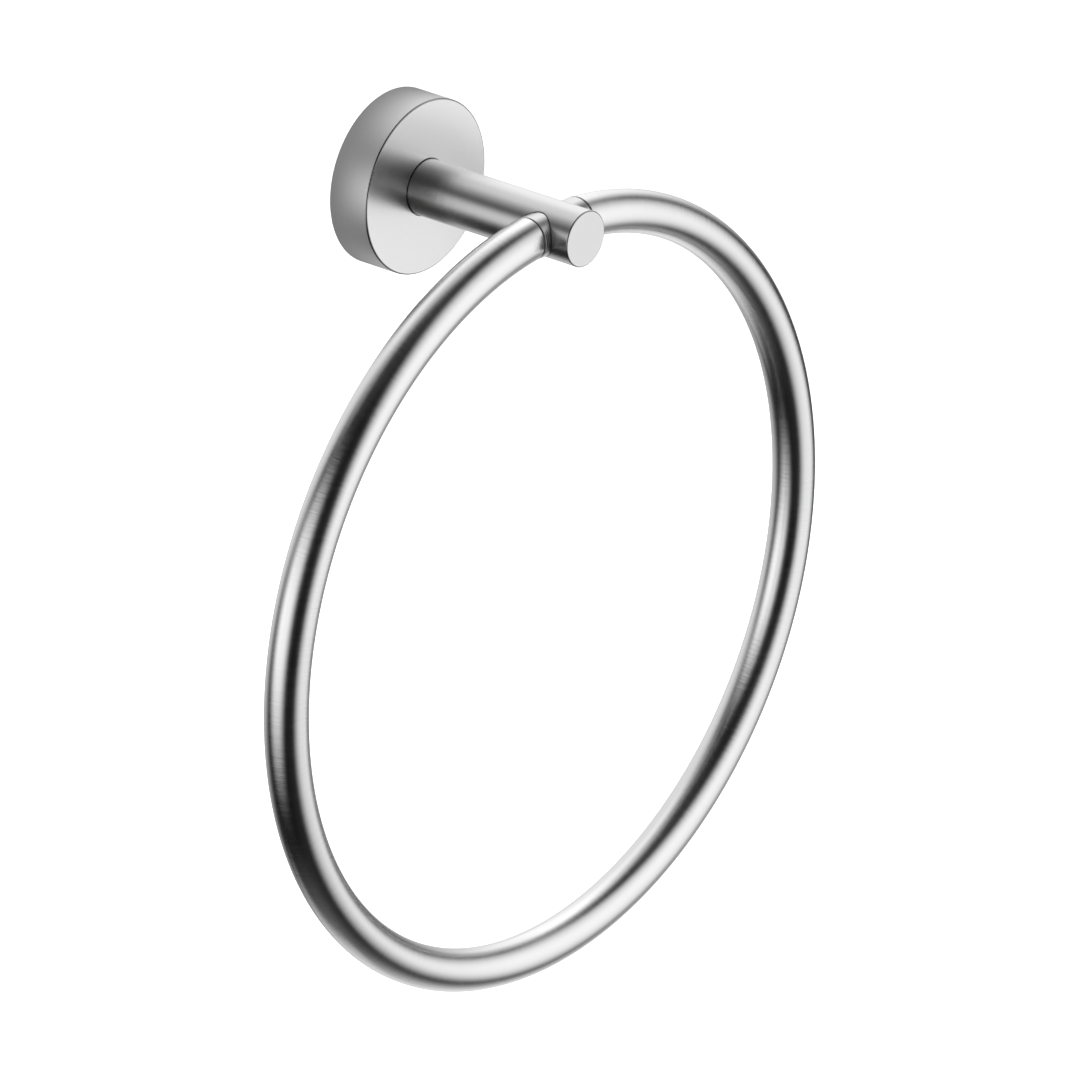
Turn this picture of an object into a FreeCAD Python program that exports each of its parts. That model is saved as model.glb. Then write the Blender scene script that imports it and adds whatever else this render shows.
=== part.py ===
# Wall-mounted towel ring: a round flange on the wall, a straight post that stands
# out from it, and a ring of round tube that hangs from a bar through the post's end.
#
# Frame: millimetres. The origin is on the wall, at the centre of the two wall
# screws. +Y points into the wall, -Y out into the room, +X to the right of somebody
# who faces the wall, and +Z up. The bar that the ring swings on lies along X at z = 0.
#
# How it comes apart:
#   wall_plate           turned steel dish, screwed to the wall through two slots
#   flange_cover         turned cup that hides the plate, with a seat for the post
#   flange_grub_screw    M4 cone point from below, into the groove round the plate
#   post                 turned solid bar
#   post_screw           M6 low head, from inside the cover into the post's end
#   post_screw_washer    flat washer under it
#   post_lock_washer     split spring washer between that and the head
#   post_locating_pin    keeps the post from turning in the cover
#   crossbar             turned bar through the post, with a spigot at each end
#   crossbar_lock_screw  M6 set screw down the post's bore, which clamps the crossbar
#   ring_tube            round tube bent to a ring, open across the post
#   ring_end_plug_left and _right   turned plugs brazed into the tube's ends
#   pivot_bush_left and _right      flanged plastic bushes that turn on the spigots

import FreeCAD, Part
import os
import Sketcher

os.makedirs("parts", exist_ok=True)
doc = FreeCAD.newDocument("towel_ring")
Vec = FreeCAD.Vector

# ---------------------------------------------------------------- driving sizes
ROWS = [
    # the flange: a cup that stands mouth to the wall
    ("flange_dia", 50.0, "flange outer diameter"),
    ("flange_depth", 13.1, "flange front face from the wall"),
    ("flange_wall", 2.5, "flange side wall"),
    ("flange_front", 3.0, "flange front wall"),
    ("flange_round", 0.45, "round on the flange's front edge"),
    ("seat_depth", 1.0, "post seat sunk in the flange's face"),
    ("seat_gap", 0.3, "open gap round the post in its seat"),
    # the post and what holds it
    ("post_dia", 16.0, "post diameter"),
    ("post_reach", 70.0, "post front face from the wall"),
    ("post_round", 0.35, "round on the post's front edge"),
    ("bore_dia", 6.0, "M6 bore along the post"),
    ("screw_hole_dia", 6.4, "clearance hole for the post screw"),
    ("pin_dia", 2.5, "locating pin diameter"),
    ("pin_offset", 5.4, "locating pin above the post's axis"),
    ("pin_depth", 3.0, "locating pin hole in the post"),
    ("head_dia", 10.0, "post screw head diameter"),
    ("head_high", 4.0, "post screw head height"),
    ("socket_wide", 4.0, "hexagon across flats in the post screw"),
    ("socket_deep", 2.2, "hexagon depth in the post screw"),
    ("shank_long", 16.0, "post screw length under the head"),
    ("washer_dia", 12.0, "flat washer outer diameter"),
    ("washer_thick", 1.0, "flat washer thickness"),
    ("lock_dia", 11.4, "spring washer outer diameter"),
    ("lock_thick", 1.6, "spring washer thickness"),
    ("lock_split", 0.9, "width of the spring washer's split"),
    # the ring
    ("tube_dia", 12.2, "ring tube outer diameter"),
    ("tube_wall", 1.2, "ring tube wall"),
    ("ring_radius", 108.6, "ring radius to the tube's centre line"),
    ("ring_standoff", 58.4, "ring plane from the wall"),
    ("ring_drop", 108.1, "ring centre below the pivot axis"),
    ("ring_end_round", 0.25, "round on the tube's two end edges"),
    # the pivot
    ("seam_offset", 10.38, "parting line from the post's centre, each side"),
    ("seam_gap", 0.4, "crossbar shoulder to tube end"),
    ("bar_round", 0.2, "round on the crossbar's shoulders"),
    ("relief_start", 4.0, "where the cross hole's mouth opens out"),
    ("relief_gap", 0.2, "open gap round the crossbar at the mouth"),
    ("spigot_dia", 5.0, "crossbar spigot diameter"),
    ("spigot_long", 4.5, "crossbar spigot length from its shoulder"),
    ("spot_deep", 0.6, "spot drilled in the crossbar for its lock screw"),
    ("lock_screw_long", 8.0, "crossbar lock screw length"),
    ("bush_clear", 0.05, "radial clearance of the bush on the spigot"),
    ("bush_dia", 7.0, "bush outer diameter"),
    ("bush_long", 4.4, "bush sleeve length past its flange"),
    ("bush_flange_dia", 10.8, "bush flange diameter"),
    ("bush_flange_thick", 0.3, "bush flange thickness"),
    ("plug_long", 12.0, "end plug length"),
    ("plug_bore_deep", 5.0, "bush bore depth in the end plug"),
    # the plate on the wall
    ("plate_dia", 44.6, "wall plate outer diameter"),
    ("plate_deep", 7.0, "wall plate rim height"),
    ("plate_web", 3.0, "wall plate web thickness"),
    ("plate_recess_dia", 37.6, "wall plate recess diameter"),
    ("plate_hole_dia", 13.0, "wall plate centre hole"),
    ("groove_deep", 1.5, "depth of the V groove round the rim"),
    ("groove_from_wall", 4.5, "V groove centre from the wall"),
    ("slot_spacing", 26.0, "wall screw slots, centre to centre"),
    ("slot_wide", 5.2, "wall screw slot width"),
    ("slot_long", 8.0, "wall screw slot length, end to end"),
    ("grub_dia", 4.0, "M4 flange screw diameter"),
    ("grub_sunk", 0.4, "flange screw below the flange's surface"),
    ("grub_long", 3.3, "flange screw length"),
    ("grub_tip_dia", 0.8, "flat on the flange screw's cone point"),
    ("grub_cone", 1.6, "height of the flange screw's cone"),
    ("grub_socket_wide", 2.0, "hexagon across flats in the flange screw"),
    ("grub_socket_deep", 1.4, "hexagon depth in the flange screw"),
]
sheet = doc.addObject("Spreadsheet::Sheet", "Sizes")
for line, (alias, number, words) in enumerate(ROWS, start=1):
    sheet.set("A%d" % line, words)
    sheet.set("B%d" % line, str(number))
    sheet.setAlias("B%d" % line, alias)
doc.recompute()


class Dim:
    """A size from the sheet, or a sum of such sizes: v is its number now, e the same sum as an expression."""

    def __init__(self, e, v):
        self.e, self.v = e, v

    @staticmethod
    def of(other):
        return other if isinstance(other, Dim) else Dim(str(float(other)), float(other))

    def __add__(self, other):
        other = Dim.of(other)
        return Dim("(%s + %s)" % (self.e, other.e), self.v + other.v)

    def __sub__(self, other):
        other = Dim.of(other)
        return Dim("(%s - %s)" % (self.e, other.e), self.v - other.v)

    def __mul__(self, other):
        other = Dim.of(other)
        return Dim("(%s * %s)" % (self.e, other.e), self.v * other.v)

    def __truediv__(self, other):
        other = Dim.of(other)
        return Dim("(%s / %s)" % (self.e, other.e), self.v / other.v)

    def __neg__(self):
        return Dim("(0 - %s)" % self.e, -self.v)


class Sheet:
    """Every alias of the sheet as a Dim of the same name."""


S = Sheet()
for alias, number, words in ROWS:
    setattr(S, alias, Dim("Sizes.%s" % alias, number))
ZERO = Dim("0", 0.0)

# sums that several pieces share
flange_r = S.flange_dia / 2
inner_r = flange_r - S.flange_wall
seat_y = -S.flange_depth + S.seat_depth          # bottom of the post's seat
inside_y = -S.flange_depth + S.flange_front      # inner side of the flange's front wall
post_r = S.post_dia / 2
tube_r = S.tube_dia / 2
shoulder_x = S.seam_offset - S.seam_gap / 2      # end of the crossbar's full diameter
tube_end_x = S.seam_offset + S.seam_gap / 2      # end of the ring's tube
bar_back_y = -S.ring_standoff + tube_r           # back of the crossbar
head_y = inside_y + S.washer_thick + S.lock_thick  # under the post screw's head


# ---------------------------------------------------------------- small helpers
def new_body(label, x=ZERO, y=ZERO, z=ZERO, rotation=None):
    """A body of its own for one piece, placed by sizes from the sheet."""
    body = doc.addObject("PartDesign::Body", label)
    body.Label = label
    body.Placement = FreeCAD.Placement(Vec(x.v, y.v, z.v), rotation or FreeCAD.Rotation())
    for path, dim in (("x", x), ("y", y), ("z", z)):
        if dim is not ZERO:
            body.setExpression("Placement.Base.%s" % path, dim.e)
    return body


def new_sketch(body, name, role, lift=None):
    """A sketch on one of the body's own planes, lifted along the plane's normal."""
    sketch = body.newObject("Sketcher::SketchObject", name)
    support = [f for f in body.Origin.OriginFeatures if f.Role == role][0]
    sketch.AttachmentSupport = (support, "")
    sketch.MapMode = "FlatFace"
    if lift is not None:
        sketch.AttachmentOffset = FreeCAD.Placement(Vec(0, 0, lift.v), FreeCAD.Rotation())
        sketch.setExpression("AttachmentOffset.Base.z", lift.e)
    return sketch


def fix_point(sketch, geo, pos, x, y):
    """Hold one point of a sketch at (x, y), bound to the sheet."""
    for kind, axis, dim in (("DistanceX", -2, x), ("DistanceY", -1, y)):
        if dim is ZERO:
            sketch.addConstraint(Sketcher.Constraint("PointOnObject", geo, pos, axis))
        else:
            n = sketch.addConstraint(Sketcher.Constraint(kind, -1, 1, geo, pos, dim.v))
            sketch.setExpression("Constraints[%d]" % n, dim.e)


def outline(sketch, points):
    """A closed outline of straight lines through the points, each bound to the sheet."""
    first = None
    count = len(points)
    for i in range(count):
        a, b = points[i], points[(i + 1) % count]
        geo = sketch.addGeometry(Part.LineSegment(Vec(a[0].v, a[1].v, 0), Vec(b[0].v, b[1].v, 0)), False)
        if first is None:
            first = geo
    for i in range(count):
        sketch.addConstraint(Sketcher.Constraint("Coincident", first + i, 2, first + (i + 1) % count, 1))
    for i, (x, y) in enumerate(points):
        fix_point(sketch, first + i, 1, x, y)


def round_line(sketch, x, y, radius):
    """A full circle, its centre and radius bound to the sheet."""
    geo = sketch.addGeometry(Part.Circle(Vec(x.v, y.v, 0), Vec(0, 0, 1), radius.v), False)
    fix_point(sketch, geo, 3, x, y)
    n = sketch.addConstraint(Sketcher.Constraint("Radius", geo, radius.v))
    sketch.setExpression("Constraints[%d]" % n, radius.e)


def slot_line(sketch, x, y, wide, long):
    """A slot along the sketch's own x, with round ends."""
    half = (long - wide) / 2
    r = wide / 2
    up = FreeCAD.Vector(0, 0, 1)
    pi = 3.141592653589793
    right = sketch.addGeometry(Part.ArcOfCircle(Part.Circle(Vec((x + half).v, y.v, 0), up, r.v), -pi / 2, pi / 2), False)
    left = sketch.addGeometry(Part.ArcOfCircle(Part.Circle(Vec((x - half).v, y.v, 0), up, r.v), pi / 2, 3 * pi / 2), False)
    top = sketch.addGeometry(Part.LineSegment(Vec((x + half).v, y.v + r.v, 0), Vec((x - half).v, y.v + r.v, 0)), False)
    low = sketch.addGeometry(Part.LineSegment(Vec((x - half).v, y.v - r.v, 0), Vec((x + half).v, y.v - r.v, 0)), False)
    sketch.addConstraint(Sketcher.Constraint("Coincident", right, 2, top, 1))
    sketch.addConstraint(Sketcher.Constraint("Coincident", top, 2, left, 1))
    sketch.addConstraint(Sketcher.Constraint("Coincident", left, 2, low, 1))
    sketch.addConstraint(Sketcher.Constraint("Coincident", low, 2, right, 1))
    fix_point(sketch, right, 3, x + half, y)
    fix_point(sketch, left, 3, x - half, y)
    for arc in (right, left):
        n = sketch.addConstraint(Sketcher.Constraint("Radius", arc, r.v))
        sketch.setExpression("Constraints[%d]" % n, r.e)
        sketch.addConstraint(Sketcher.Constraint("Vertical", arc, 1, arc, 3))
        sketch.addConstraint(Sketcher.Constraint("Vertical", arc, 2, arc, 3))


def hexagon(sketch, wide):
    """A hexagon about the sketch's origin, wide across its flats."""
    half, side, corner = wide / 2, wide * 0.288675135, wide * 0.577350269
    outline(sketch, [(half, -side), (half, side), (ZERO, corner), (-half, side), (-half, -side), (ZERO, -corner)])


def revolve(body, sketch, axis):
    """The sketch turned a full turn about one of its own axes."""
    feature = body.newObject("PartDesign::Revolution", sketch.Name + "_turned")
    feature.Profile = (sketch, [""])
    feature.ReferenceAxis = (sketch, [axis])
    feature.Angle = 360
    doc.recompute()
    return feature


def pad(body, sketch, length, symmetric=False, backwards=False):
    """The sketch pulled out by a length, or half of it each way."""
    feature = body.newObject("PartDesign::Pad", sketch.Name + "_pulled")
    feature.Profile = (sketch, [""])
    feature.Length = length.v
    feature.setExpression("Length", length.e)
    if symmetric:
        feature.SideType = "Symmetric"
    feature.Reversed = backwards
    doc.recompute()
    return feature


def cut(body, sketch, length, symmetric=False, backwards=False):
    """The sketch cut in by a length. It must take something away, so the volume is compared."""
    before = body.Shape.Volume
    feature = body.newObject("PartDesign::Pocket", sketch.Name + "_cut")
    feature.Profile = (sketch, [""])
    feature.Length = length.v
    feature.setExpression("Length", length.e)
    if symmetric:
        feature.SideType = "Symmetric"
    feature.Reversed = backwards
    doc.recompute()
    if not feature.Shape.Volume < before - 1e-6:
        raise RuntimeError("%s cuts nothing" % feature.Name)
    return feature


def round_edges(body, feature, radius, chosen):
    """A round on the edges of the last feature that chosen(edge) picks."""
    names = ["Edge%d" % (i + 1) for i, e in enumerate(feature.Shape.Edges) if chosen(e)]
    if not names:
        raise RuntimeError("no edge to round on %s" % body.Label)
    fillet = body.newObject("PartDesign::Fillet", feature.Name + "_round")
    fillet.Base = (feature, names)
    fillet.Radius = radius.v
    fillet.setExpression("Radius", radius.e)
    doc.recompute()
    return fillet


def bevel_edges(body, feature, size, chosen):
    """A 45 degree bevel on the edges of the last feature that chosen(edge) picks."""
    names = ["Edge%d" % (i + 1) for i, e in enumerate(feature.Shape.Edges) if chosen(e)]
    if not names:
        raise RuntimeError("no edge to bevel on %s" % body.Label)
    chamfer = body.newObject("PartDesign::Chamfer", feature.Name + "_bevel")
    chamfer.Base = (feature, names)
    chamfer.Size = size
    doc.recompute()
    return chamfer


def circle_at(radius, axis, place):
    """Picks a full circle of this radius that lies square to an axis at one place along it."""

    def chosen(edge):
        curve = edge.Curve
        if not isinstance(curve, Part.Circle) or abs(curve.Radius - radius) > 1e-4:
            return False
        return abs(getattr(curve.Center, axis) - place) < 1e-4 and abs(abs(getattr(curve.Axis, axis)) - 1) < 1e-6

    return chosen


pieces = []

# ---------------------------------------------------------------- wall plate
# A dish: a web against the wall, and a rim that the cover slides over. The V groove
# round the rim takes the flange screw's point, which pulls the cover to the wall.
plate = new_body("wall_plate")
sk = new_sketch(plate, "plate_profile", "YZ_Plane")
plate_r = S.plate_dia / 2
outline(sk, [
    (ZERO, S.plate_hole_dia / 2),
    (ZERO, plate_r),
    (-S.groove_from_wall + S.groove_deep, plate_r),
    (-S.groove_from_wall, plate_r - S.groove_deep),
    (-S.groove_from_wall - S.groove_deep, plate_r),
    (-S.plate_deep, plate_r),
    (-S.plate_deep, S.plate_recess_dia / 2),
    (-S.plate_web, S.plate_recess_dia / 2),
    (-S.plate_web, S.plate_hole_dia / 2),
])
revolve(plate, sk, "H_Axis")
sk = new_sketch(plate, "wall_slots", "XZ_Plane", ZERO + 0)
slot_line(sk, S.slot_spacing / 2, ZERO, S.slot_wide, S.slot_long)
slot_line(sk, -S.slot_spacing / 2, ZERO, S.slot_wide, S.slot_long)
last = cut(plate, sk, S.plate_web * 2, symmetric=True)
bevel_edges(plate, last, 0.3, circle_at(plate_r.v, "y", -S.plate_deep.v))
pieces.append(plate)

# ---------------------------------------------------------------- flange cover
# A turned cup, mouth to the wall. Its face has a shallow seat for the post, a little
# wider than the post, and a hole in the seat for the post screw.
cover = new_body("flange_cover")
sk = new_sketch(cover, "cover_profile", "YZ_Plane")
outline(sk, [
    (ZERO, inner_r),
    (ZERO, flange_r),
    (-S.flange_depth, flange_r),
    (-S.flange_depth, post_r + S.seat_gap),
    (seat_y, post_r + S.seat_gap),
    (seat_y, S.screw_hole_dia / 2),
    (inside_y, S.screw_hole_dia / 2),
    (inside_y, inner_r),
])
revolve(cover, sk, "H_Axis")
sk = new_sketch(cover, "cover_pin_hole", "XZ_Plane")
round_line(sk, ZERO, S.pin_offset, S.pin_dia / 2)
cut(cover, sk, S.flange_depth + 1, backwards=True)
sk = new_sketch(cover, "cover_grub_hole", "XY_Plane")
round_line(sk, ZERO, -S.groove_from_wall, S.grub_dia / 2)
last = cut(cover, sk, flange_r + 1)
last = round_edges(cover, last, S.flange_round, circle_at(flange_r.v, "y", -S.flange_depth.v))
bevel_edges(cover, last, 0.3, circle_at(inner_r.v, "y", 0.0))
pieces.append(cover)

# ---------------------------------------------------------------- flange grub screw
# M4 set screw with a cone point, up through the underside of the cover.
grub = new_body("flange_grub_screw", ZERO, -S.groove_from_wall, -flange_r + S.grub_sunk)
sk = new_sketch(grub, "grub_profile", "XZ_Plane")
grub_r = S.grub_dia / 2
outline(sk, [
    (ZERO, ZERO),
    (grub_r - 0.3, ZERO),
    (grub_r, Dim.of(0.3)),
    (grub_r, S.grub_long - S.grub_cone),
    (S.grub_tip_dia / 2, S.grub_long),
    (ZERO, S.grub_long),
])
revolve(grub, sk, "V_Axis")
sk = new_sketch(grub, "grub_socket", "XY_Plane")
hexagon(sk, S.grub_socket_wide)
cut(grub, sk, S.grub_socket_deep, backwards=True)
pieces.append(grub)

# ---------------------------------------------------------------- post
# Solid bar. Its back end sits in the cover's seat, an M6 bore runs along it to the
# cross hole, and the cross hole's mouths open out a little round the crossbar.
post = new_body("post")
sk = new_sketch(post, "post_outline", "XZ_Plane", -seat_y)
round_line(sk, ZERO, ZERO, post_r)
pad(post, sk, S.post_reach + seat_y)
sk = new_sketch(post, "post_bore", "XZ_Plane", -seat_y)
round_line(sk, ZERO, ZERO, S.bore_dia / 2)
cut(post, sk, S.ring_standoff + seat_y, backwards=True)
sk = new_sketch(post, "post_pin_hole", "XZ_Plane", -seat_y)
round_line(sk, ZERO, S.pin_offset, S.pin_dia / 2)
cut(post, sk, S.pin_depth, backwards=True)
sk = new_sketch(post, "cross_hole", "YZ_Plane")
round_line(sk, -S.ring_standoff, ZERO, tube_r)
cut(post, sk, S.post_dia + 2, symmetric=True)
sk = new_sketch(post, "mouth_right", "YZ_Plane", S.relief_start)
round_line(sk, -S.ring_standoff, ZERO, tube_r + S.relief_gap)
cut(post, sk, post_r, backwards=True)
sk = new_sketch(post, "mouth_left", "YZ_Plane", -S.relief_start)
round_line(sk, -S.ring_standoff, ZERO, tube_r + S.relief_gap)
last = cut(post, sk, post_r)
last = round_edges(post, last, S.post_round, circle_at(post_r.v, "y", -S.post_reach.v))
bevel_edges(post, last, 0.3, circle_at(post_r.v, "y", seat_y.v))
pieces.append(post)

# ---------------------------------------------------------------- post screw and washers
screw = new_body("post_screw")
sk = new_sketch(screw, "screw_profile", "YZ_Plane")
outline(sk, [
    (head_y + S.head_high, ZERO),
    (head_y + S.head_high, S.head_dia / 2 - 0.4),
    (head_y + S.head_high - 0.4, S.head_dia / 2),
    (head_y, S.head_dia / 2),
    (head_y, S.bore_dia / 2),
    (head_y - S.shank_long + 0.8, S.bore_dia / 2),
    (head_y - S.shank_long, S.bore_dia / 2 - 0.8),
    (head_y - S.shank_long, ZERO),
])
revolve(screw, sk, "H_Axis")
sk = new_sketch(screw, "screw_socket", "XZ_Plane", -head_y - S.head_high)
hexagon(sk, S.socket_wide)
cut(screw, sk, S.socket_deep, backwards=True)
pieces.append(screw)

washer = new_body("post_screw_washer")
sk = new_sketch(washer, "washer_outline", "XZ_Plane", -inside_y)
round_line(sk, ZERO, ZERO, S.washer_dia / 2)
round_line(sk, ZERO, ZERO, S.screw_hole_dia / 2)
pad(washer, sk, S.washer_thick, backwards=True)
pieces.append(washer)

lock = new_body("post_lock_washer")
sk = new_sketch(lock, "lock_outline", "XZ_Plane", -inside_y - S.washer_thick)
round_line(sk, ZERO, ZERO, S.lock_dia / 2)
round_line(sk, ZERO, ZERO, S.screw_hole_dia / 2)
pad(lock, sk, S.lock_thick, backwards=True)
sk = new_sketch(lock, "lock_split_outline", "XZ_Plane", -inside_y - S.washer_thick)
outline(sk, [
    (-S.lock_split * 1.2, ZERO + 1),
    (-S.lock_split * 0.2, ZERO + 1),
    (S.lock_split * 1.2, S.lock_dia / 2 + 1),
    (S.lock_split * 0.2, S.lock_dia / 2 + 1),
])
cut(lock, sk, S.lock_thick)
pieces.append(lock)

# ---------------------------------------------------------------- locating pin
# Through the seat's floor and into the post, a little short of both ends of its hole.
pin = new_body("post_locating_pin")
sk = new_sketch(pin, "pin_outline", "XZ_Plane", -inside_y + 0.2)
round_line(sk, ZERO, S.pin_offset, S.pin_dia / 2)
pad(pin, sk, S.flange_front - S.seat_depth + S.pin_depth - 0.4)
pieces.append(pin)

# ---------------------------------------------------------------- crossbar
# As thick as the ring's tube, so the ring reads as passing through the post. The
# ring's ends turn on the thinner spigots past its shoulders.
bar = new_body("crossbar", ZERO, -S.ring_standoff, ZERO)
sk = new_sketch(bar, "bar_outline", "YZ_Plane")
round_line(sk, ZERO, ZERO, tube_r)
pad(bar, sk, shoulder_x * 2, symmetric=True)
sk = new_sketch(bar, "spigot_outline", "YZ_Plane")
round_line(sk, ZERO, ZERO, S.spigot_dia / 2)
pad(bar, sk, (shoulder_x + S.spigot_long) * 2, symmetric=True)
sk = new_sketch(bar, "lock_spot", "XZ_Plane", -tube_r)
round_line(sk, ZERO, ZERO, S.bore_dia / 2)
last = cut(bar, sk, S.spot_deep, backwards=True)
end_x = shoulder_x.v + S.spigot_long.v
right_end, left_end = circle_at(S.spigot_dia.v / 2, "x", end_x), circle_at(S.spigot_dia.v / 2, "x", -end_x)
last = bevel_edges(bar, last, 0.4, lambda e: right_end(e) or left_end(e))
right_end, left_end = circle_at(tube_r.v, "x", shoulder_x.v), circle_at(tube_r.v, "x", -shoulder_x.v)
round_edges(bar, last, S.bar_round, lambda e: right_end(e) or left_end(e))
pieces.append(bar)

# ---------------------------------------------------------------- crossbar lock screw
# M6 set screw, driven down the post's bore until its end sits in the crossbar's spot.
setscrew = new_body("crossbar_lock_screw", ZERO, bar_back_y - S.spot_deep, ZERO)
sk = new_sketch(setscrew, "setscrew_profile", "YZ_Plane")
outline(sk, [
    (ZERO, ZERO),
    (ZERO, S.bore_dia / 2 - 0.5),
    (Dim.of(0.5), S.bore_dia / 2),
    (S.lock_screw_long - 0.5, S.bore_dia / 2),
    (S.lock_screw_long, S.bore_dia / 2 - 0.5),
    (S.lock_screw_long, ZERO),
])
revolve(setscrew, sk, "H_Axis")
sk = new_sketch(setscrew, "setscrew_socket", "XZ_Plane", -S.lock_screw_long)
hexagon(sk, S.socket_wide * 0.75)
cut(setscrew, sk, S.socket_deep, backwards=True)
pieces.append(setscrew)

# ---------------------------------------------------------------- ring tube
# Drawn flat, with its centre at the origin, and then stood up: the sketch's XY plane
# becomes the ring's own plane, parallel to the wall.
UPRIGHT = FreeCAD.Rotation(Vec(1, 0, 0), 90)
ring = new_body("ring_tube", ZERO, -S.ring_standoff, -S.ring_drop, UPRIGHT)
sk = new_sketch(ring, "tube_section", "XZ_Plane")
round_line(sk, S.ring_radius, ZERO, tube_r)
round_line(sk, S.ring_radius, ZERO, tube_r - S.tube_wall)
revolve(ring, sk, "V_Axis")
sk = new_sketch(ring, "ring_gap", "XY_Plane")
gap_low, gap_high = S.ring_radius - S.tube_dia * 2, S.ring_radius + S.tube_dia
outline(sk, [(-tube_end_x, gap_low), (tube_end_x, gap_low), (tube_end_x, gap_high), (-tube_end_x, gap_high)])
last = cut(ring, sk, S.tube_dia * 2, symmetric=True)


def tube_end_edge(edge):
    """The outer edge of either end of the tube."""
    box = edge.BoundBox
    flat = box.XLength < 1e-3 and abs(abs(box.Center.x) - tube_end_x.v) < 1e-3
    return flat and box.ZLength > 2 * (tube_r.v - S.tube_wall.v) + 0.5


round_edges(ring, last, S.ring_end_round, tube_end_edge)
pieces.append(ring)

# ---------------------------------------------------------------- ring end plugs
# Each follows the tube's bend, is cut square to the pivot axis, and is bored along it.
for side, hand in (("right", 1), ("left", -1)):
    torus = doc.addObject("Part::Torus", "plug_bend_" + side)
    torus.setExpression("Radius1", S.ring_radius.e)
    torus.setExpression("Radius2", (tube_r - S.tube_wall).e)
    window = doc.addObject("Part::Box", "plug_window_" + side)
    window.setExpression("Length", S.plug_long.e)
    window.setExpression("Width", (S.tube_dia * 3).e)
    window.setExpression("Height", (S.tube_dia * 2).e)
    start = tube_end_x if hand > 0 else -tube_end_x - S.plug_long
    window.setExpression("Placement.Base.x", start.e)
    window.setExpression("Placement.Base.y", (S.ring_radius - S.tube_dia * 2).e)
    window.setExpression("Placement.Base.z", (-S.tube_dia).e)
    stub = doc.addObject("Part::Common", "plug_solid_" + side)
    stub.Base, stub.Tool = torus, window
    bore = doc.addObject("Part::Cylinder", "plug_bore_" + side)
    bore.setExpression("Radius", (S.bush_dia / 2).e)
    bore.setExpression("Height", (S.plug_bore_deep + 1).e)
    bore.Placement = FreeCAD.Placement(Vec(0, 0, 0), FreeCAD.Rotation(Vec(0, 1, 0), 90 * hand))
    start = tube_end_x - 1 if hand > 0 else -tube_end_x + 1
    bore.setExpression("Placement.Base.x", start.e)
    bore.setExpression("Placement.Base.y", S.ring_drop.e)
    plug = doc.addObject("Part::Cut", "ring_end_plug_" + side)
    plug.Label = "ring_end_plug_" + side
    plug.Base, plug.Tool = stub, bore
    plug.Placement = FreeCAD.Placement(Vec(0, -S.ring_standoff.v, -S.ring_drop.v), UPRIGHT)
    plug.setExpression("Placement.Base.y", (-S.ring_standoff).e)
    plug.setExpression("Placement.Base.z", (-S.ring_drop).e)
    pieces.append(plug)

# ---------------------------------------------------------------- pivot bushes
# A thin flange fills the parting line, and the sleeve sits in the end plug.
for side, turn in (("right", 0), ("left", 180)):
    label = "pivot_bush_" + side
    bush = new_body(label, ZERO, -S.ring_standoff, ZERO, FreeCAD.Rotation(Vec(0, 0, 1), turn))
    sk = new_sketch(bush, "bush_profile_" + side, "XY_Plane")
    inner, outer = S.spigot_dia / 2 + S.bush_clear, S.bush_dia / 2
    face_x = tube_end_x - S.bush_flange_thick
    outline(sk, [
        (face_x, inner),
        (face_x, S.bush_flange_dia / 2),
        (tube_end_x, S.bush_flange_dia / 2),
        (tube_end_x, outer),
        (tube_end_x + S.bush_long, outer),
        (tube_end_x + S.bush_long, inner),
    ])
    revolve(bush, sk, "H_Axis")
    pieces.append(bush)

# ---------------------------------------------------------------- check and write
doc.recompute()
for obj in doc.Objects:
    if "Invalid" in obj.State or "Error" in obj.State:
        raise RuntimeError("%s did not build: %s" % (obj.Label, obj.State))
for piece in pieces:
    shape = piece.Shape
    if shape.isNull() or not shape.isValid() or len(shape.Solids) != 1:
        raise RuntimeError("%s has a bad shape" % piece.Label)
    box = shape.BoundBox
    print("%-22s volume %9.1f mm3   x %7.2f %7.2f   y %7.2f %7.2f   z %7.2f %7.2f" % (
        piece.Label, shape.Volume, box.XMin, box.XMax, box.YMin, box.YMax, box.ZMin, box.ZMax))
for old in os.listdir("parts"):
    if old.endswith(".step"):
        os.remove(os.path.join("parts", old))
for piece in pieces:
    piece.Shape.exportStep("parts/%s.step" % piece.Label)
print("wrote %d pieces" % len(pieces))
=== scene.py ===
import math

import bpy
import numpy as np
from mathutils import Matrix, Vector


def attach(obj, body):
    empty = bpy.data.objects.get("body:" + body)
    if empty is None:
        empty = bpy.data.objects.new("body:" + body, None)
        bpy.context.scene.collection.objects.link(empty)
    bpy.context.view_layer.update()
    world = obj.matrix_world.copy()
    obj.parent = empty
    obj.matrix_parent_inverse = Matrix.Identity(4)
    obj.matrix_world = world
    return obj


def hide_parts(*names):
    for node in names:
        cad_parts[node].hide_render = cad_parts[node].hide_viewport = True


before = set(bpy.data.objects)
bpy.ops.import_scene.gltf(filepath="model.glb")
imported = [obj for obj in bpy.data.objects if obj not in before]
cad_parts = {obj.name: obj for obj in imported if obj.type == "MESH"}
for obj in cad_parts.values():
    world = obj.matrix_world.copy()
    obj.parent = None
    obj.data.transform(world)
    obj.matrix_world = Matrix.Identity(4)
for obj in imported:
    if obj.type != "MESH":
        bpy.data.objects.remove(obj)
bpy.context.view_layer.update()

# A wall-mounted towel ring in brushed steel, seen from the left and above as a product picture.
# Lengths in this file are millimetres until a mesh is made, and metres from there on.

MM = 0.001
scene = bpy.context.scene

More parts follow.
